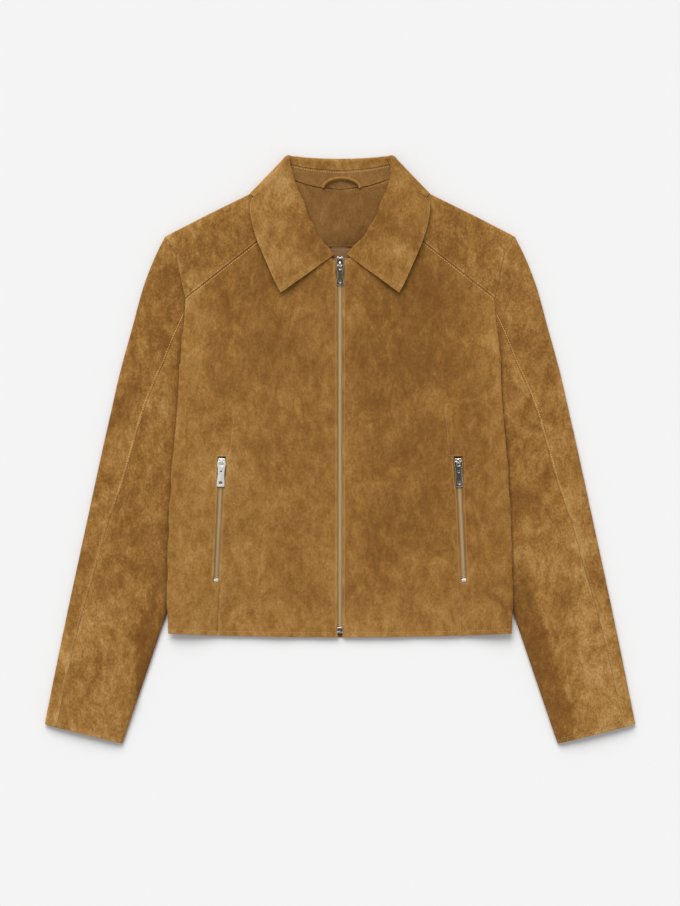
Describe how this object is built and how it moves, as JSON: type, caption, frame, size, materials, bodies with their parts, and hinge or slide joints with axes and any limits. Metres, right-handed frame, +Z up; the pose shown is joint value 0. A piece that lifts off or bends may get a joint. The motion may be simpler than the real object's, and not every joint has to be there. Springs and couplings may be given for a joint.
{
  "type": "suede zip jacket",
  "caption": "Cropped suede jacket laid flat on its back, with a turned-down collar, a closed front zip and slanted zip pockets whose pull tabs swing.",
  "frame": {"origin": "middle of the outline, on the surface the jacket lies on", "axes": "+Z up out of the front, +Y from the hem to the collar, +X to the wearer's left"},
  "size_m": [0.71, 0.7068, 0.0175],
  "materials": {
    "back_panel": "napped suede",
    "front_left": "napped suede",
    "front_right": "napped suede",
    "yoke_left": "napped suede",
    "yoke_right": "napped suede",
    "sleeve_left_upper": "napped suede",
    "sleeve_left_under": "napped suede",
    "sleeve_right_upper": "napped suede",
    "sleeve_right_under": "napped suede",
    "collar_fall": "napped suede",
    "collar_stand": "napped suede",
    "neck_facing": "napped suede",
    "back_lining": "smooth woven lining",
    "hanger_loop": "rolled suede cord",
    "zip_tape_left": "woven tape",
    "zip_tape_right": "woven tape",
    "zip_chain": "dull, slightly aged",
    "zip_box": "dull, slightly aged",
    "zip_slider": "polished, slightly aged",
    "zip_pull": "polished, slightly aged",
    "pocket_left_tape_inner": "woven tape",
    "pocket_left_tape_outer": "woven tape",
    "pocket_left_chain": "dull, slightly aged",
    "pocket_left_stop": "dull, slightly aged",
    "pocket_left_slider": "polished, slightly aged",
    "pocket_left_pull": "polished, slightly aged",
    "pocket_right_tape_inner": "woven tape",
    "pocket_right_tape_outer": "woven tape",
    "pocket_right_chain": "dull, slightly aged",
    "pocket_right_stop": "dull, slightly aged",
    "pocket_right_slider": "polished, slightly aged",
    "pocket_right_pull": "polished, slightly aged"
  },
  "bodies": {
    "jacket": {"back_panel": "back_panel", "front_left": "front_left", "front_right": "front_right", "yoke_left": "yoke_left", "yoke_right": "yoke_right", "sleeve_left_upper": "sleeve_left_upper", "sleeve_left_under": "sleeve_left_under", "sleeve_right_upper": "sleeve_right_upper", "sleeve_right_under": "sleeve_right_under", "collar_fall": "collar_fall", "collar_stand": "collar_stand", "neck_facing": "neck_facing", "back_lining": "back_lining", "hanger_loop": "hanger_loop", "zip_tape_left": "zip_tape_left", "zip_tape_right": "zip_tape_right", "zip_chain": "zip_chain", "zip_box": "zip_box", "zip_slider": "zip_slider", "pocket_left_tape_inner": "pocket_left_tape_inner", "pocket_left_tape_outer": "pocket_left_tape_outer", "pocket_left_chain": "pocket_left_chain", "pocket_left_stop": "pocket_left_stop", "pocket_left_slider": "pocket_left_slider", "pocket_right_tape_inner": "pocket_right_tape_inner", "pocket_right_tape_outer": "pocket_right_tape_outer", "pocket_right_chain": "pocket_right_chain", "pocket_right_stop": "pocket_right_stop", "pocket_right_slider": "pocket_right_slider"},
    "main_pull": {"zip_pull": "zip_pull"},
    "left_pull": {"pocket_left_pull": "pocket_left_pull"},
    "right_pull": {"pocket_right_pull": "pocket_right_pull"}
  },
  "joints": [
    {"name": "main_pull_swing", "type": "hinge", "parent": "jacket", "child": "main_pull", "pos_m": [0, 0.22078, 0.00903], "axis": [-1, 0, 0], "range_deg": [0, 150]},
    {"name": "left_pull_swing", "type": "hinge", "parent": "jacket", "child": "left_pull", "pos_m": [0.14172, -0.0147, 0.01552], "axis": [-0.9987, -0.0478, 0.0168], "range_deg": [0, 150]},
    {"name": "right_pull_swing", "type": "hinge", "parent": "jacket", "child": "right_pull", "pos_m": [-0.14172, -0.0147, 0.01552], "axis": [-0.9987, 0.0478, -0.0168], "range_deg": [0, 150]}
  ]
}
